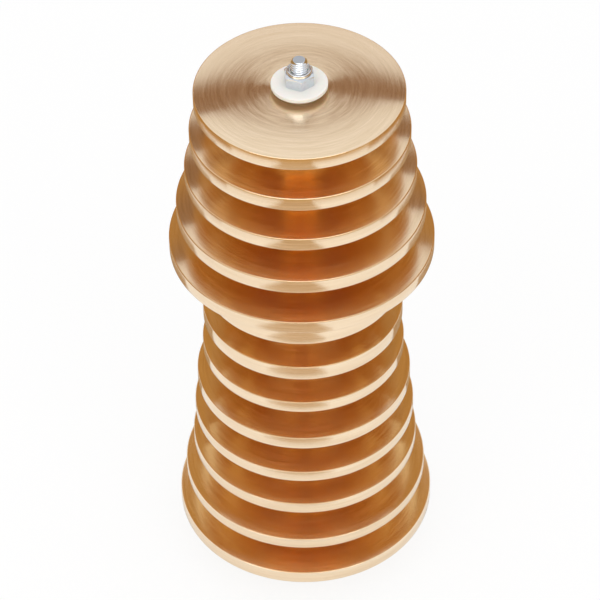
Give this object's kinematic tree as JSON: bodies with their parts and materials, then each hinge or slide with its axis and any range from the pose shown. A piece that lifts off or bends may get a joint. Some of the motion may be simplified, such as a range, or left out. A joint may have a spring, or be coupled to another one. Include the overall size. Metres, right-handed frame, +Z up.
{
  "type": "crotales",
  "caption": "Tuned bronze discs with turned bosses, stacked by size on an upright threaded rod between nylon washers and lock nuts; each disc turns on the rod.",
  "frame": {"origin": "on the rod's axis, at the lower lock nut's end face on which the stack stands", "axes": "+Z up along the rod; -Y faces the side from which the stack is seen"},
  "size_m": [0.1, 0.1, 0.2391],
  "materials": {
    "bronze": "lathe-brushed bell bronze, satin with fine tangential lines",
    "zinc_plated_steel": "bright zinc plating",
    "nylon_washer": "smooth off-white nylon",
    "nylon_ring": "smooth natural nylon"
  },
  "bodies": {
    "rod": {"threaded_rod": "zinc_plated_steel", "lower_lock_nut": "zinc_plated_steel", "lower_lock_ring": "nylon_ring", "bottom_washer": "nylon_washer", "washer_on_low_c": "nylon_washer", "washer_on_d": "nylon_washer", "washer_on_e": "nylon_washer", "washer_on_f": "nylon_washer", "washer_on_g": "nylon_washer", "washer_on_a": "nylon_washer", "washer_on_b": "nylon_washer", "washer_on_high_c": "nylon_washer", "washer_on_c_sharp": "nylon_washer", "washer_on_d_sharp": "nylon_washer", "washer_on_f_sharp": "nylon_washer", "washer_on_g_sharp": "nylon_washer", "washer_on_a_sharp": "nylon_washer"},
    "crotale_low_c": {"crotale_low_c": "bronze"},
    "crotale_d": {"crotale_d": "bronze"},
    "crotale_e": {"crotale_e": "bronze"},
    "crotale_f": {"crotale_f": "bronze"},
    "crotale_g": {"crotale_g": "bronze"},
    "crotale_a": {"crotale_a": "bronze"},
    "crotale_b": {"crotale_b": "bronze"},
    "crotale_high_c": {"crotale_high_c": "bronze"},
    "crotale_c_sharp": {"crotale_c_sharp": "bronze"},
    "crotale_d_sharp": {"crotale_d_sharp": "bronze"},
    "crotale_f_sharp": {"crotale_f_sharp": "bronze"},
    "crotale_g_sharp": {"crotale_g_sharp": "bronze"},
    "crotale_a_sharp": {"crotale_a_sharp": "bronze"},
    "top_washer": {"top_washer": "nylon_washer"},
    "upper_nut": {"upper_lock_nut": "zinc_plated_steel", "upper_lock_ring": "nylon_ring"}
  },
  "joints": [
    {"name": "low_c_turn", "type": "hinge", "parent": "rod", "child": "crotale_low_c", "pos_m": [0, 0, 0.02035], "axis": [0, 0, 1], "continuous": true},
    {"name": "d_turn", "type": "hinge", "parent": "rod", "child": "crotale_d", "pos_m": [0, 0, 0.037], "axis": [0, 0, 1], "continuous": true},
    {"name": "e_turn", "type": "hinge", "parent": "rod", "child": "crotale_e", "pos_m": [0, 0, 0.05345], "axis": [0, 0, 1], "continuous": true},
    {"name": "f_turn", "type": "hinge", "parent": "rod", "child": "crotale_f", "pos_m": [0, 0, 0.07], "axis": [0, 0, 1], "continuous": true},
    {"name": "g_turn", "type": "hinge", "parent": "rod", "child": "crotale_g", "pos_m": [0, 0, 0.0868], "axis": [0, 0, 1], "continuous": true},
    {"name": "a_turn", "type": "hinge", "parent": "rod", "child": "crotale_a", "pos_m": [0, 0, 0.10365], "axis": [0, 0, 1], "continuous": true},
    {"name": "b_turn", "type": "hinge", "parent": "rod", "child": "crotale_b", "pos_m": [0, 0, 0.1209], "axis": [0, 0, 1], "continuous": true},
    {"name": "high_c_turn", "type": "hinge", "parent": "rod", "child": "crotale_high_c", "pos_m": [0, 0, 0.13845], "axis": [0, 0, 1], "continuous": true},
    {"name": "c_sharp_turn", "type": "hinge", "parent": "rod", "child": "crotale_c_sharp", "pos_m": [0, 0, 0.15545], "axis": [0, 0, 1], "continuous": true},
    {"name": "d_sharp_turn", "type": "hinge", "parent": "rod", "child": "crotale_d_sharp", "pos_m": [0, 0, 0.17245], "axis": [0, 0, 1], "continuous": true},
    {"name": "f_sharp_turn", "type": "hinge", "parent": "rod", "child": "crotale_f_sharp", "pos_m": [0, 0, 0.18945], "axis": [0, 0, 1], "continuous": true},
    {"name": "g_sharp_turn", "type": "hinge", "parent": "rod", "child": "crotale_g_sharp", "pos_m": [0, 0, 0.20635], "axis": [0, 0, 1], "continuous": true},
    {"name": "a_sharp_turn", "type": "hinge", "parent": "rod", "child": "crotale_a_sharp", "pos_m": [0, 0, 0.2232], "axis": [0, 0, 1], "continuous": true},
    {"name": "nut_lift", "type": "slide", "parent": "rod", "child": "top_washer", "axis": [0, 0, 1], "range_m": [0, 0.01]},
    {"name": "nut_turn", "type": "hinge", "parent": "top_washer", "child": "upper_nut", "pos_m": [0, 0, 0.2321], "axis": [0, 0, 1], "range_deg": [0, 3600]}
  ],
  "couplings": [
    {"joint": "nut_turn", "follows": "nut_lift", "rad_per_m": 6283.2}
  ]
}
